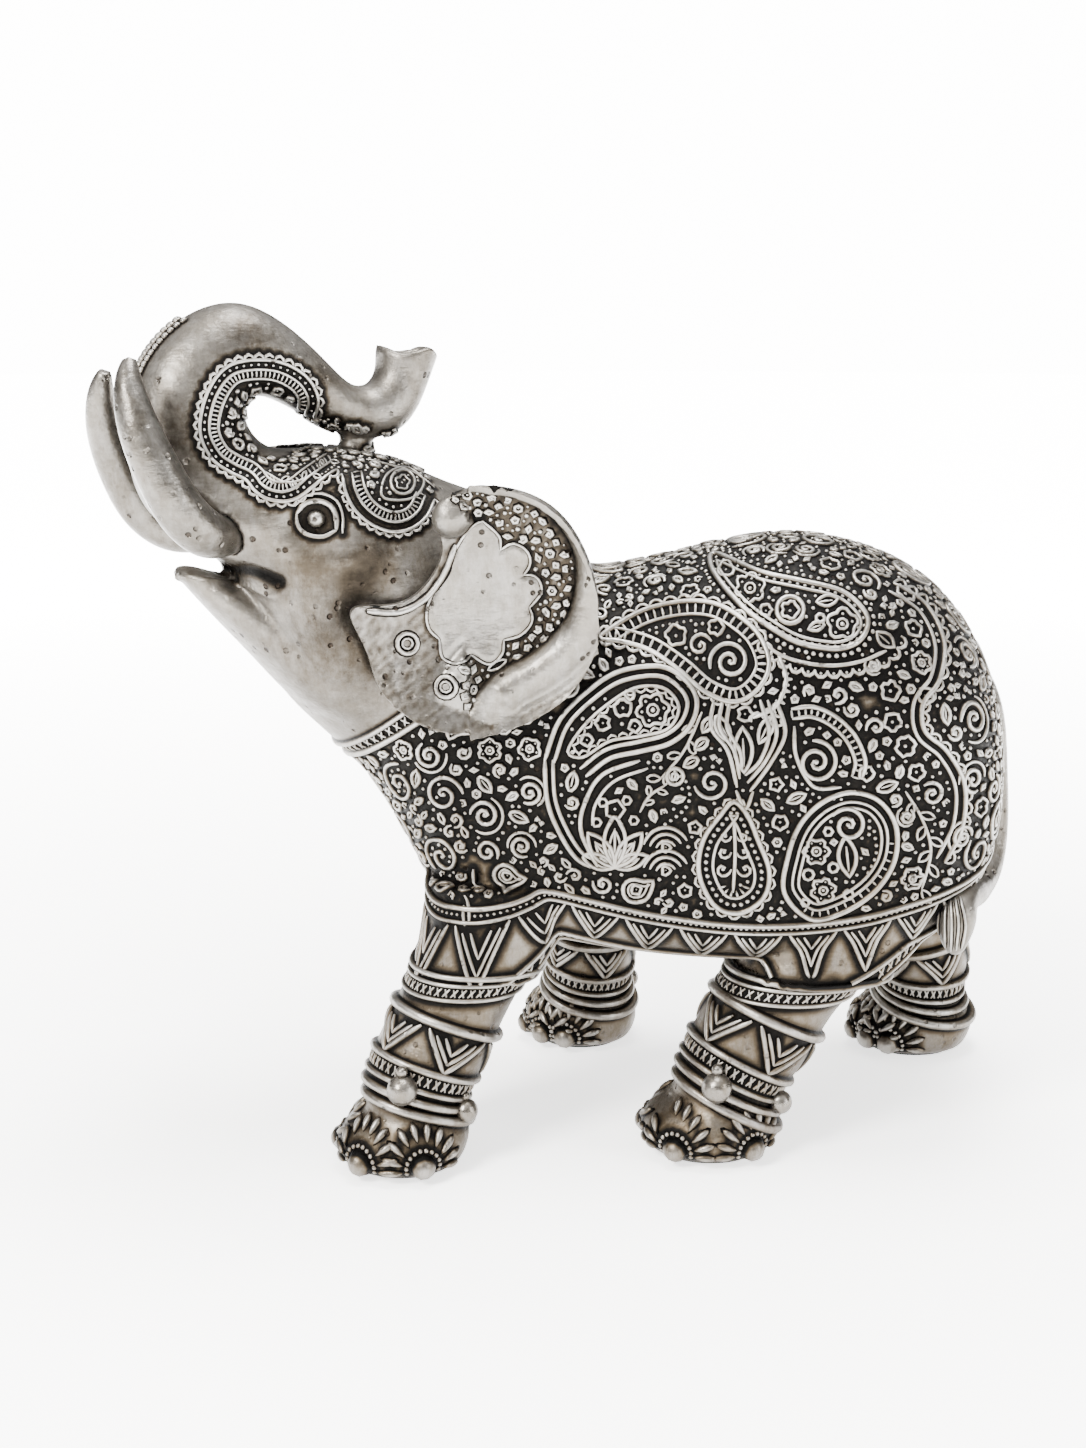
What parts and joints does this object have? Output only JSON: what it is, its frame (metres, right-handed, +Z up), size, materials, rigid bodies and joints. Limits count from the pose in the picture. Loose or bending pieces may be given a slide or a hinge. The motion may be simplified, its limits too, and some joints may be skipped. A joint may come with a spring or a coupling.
{
  "type": "ornamental elephant figurine",
  "caption": "Decorative standing elephant figurine in antiqued silver finish, raised curled trunk over the forehead, upturned tusks, relief-covered body and banded legs with anklet bells.",
  "frame": {"origin": "middle of the bounding box on the floor, under the feet", "axes": "+Z up; the figure faces -X; its left side, towards which the head is turned, is at -Y"},
  "size_m": [0.2182, 0.1064, 0.1944],
  "materials": {
    "relief_silver": "antiqued satin silver over cast resin, dark patina between raised ornament",
    "skin_silver": "antiqued satin silver over cast resin, brushed and pitted",
    "tusk_silver": "brighter burnished silver over cast resin",
    "bell_silver": "burnished silver over cast resin",
    "felt": "dark felt",
    "steel": "plain steel pin",
    "plug_rubber": "matt black stopper"
  },
  "bodies": {
    "root": {"body_shell": "relief_silver", "ear_pins": "steel", "front_left_bells": "bell_silver", "front_left_leg": "relief_silver", "front_left_pad": "felt", "front_right_bells": "bell_silver", "front_right_leg": "relief_silver", "front_right_pad": "felt", "head_and_trunk": "skin_silver", "hind_left_bells": "bell_silver", "hind_left_leg": "relief_silver", "hind_left_pad": "felt", "hind_right_bells": "bell_silver", "hind_right_leg": "relief_silver", "hind_right_pad": "felt", "left_ear": "skin_silver", "left_tusk": "tusk_silver", "leg_dowels": "steel", "neck_dowel": "steel", "pour_plug": "plug_rubber", "right_ear": "skin_silver", "right_tusk": "tusk_silver", "tail": "skin_silver", "tail_pin": "steel"}
  },
  "joints": []
}
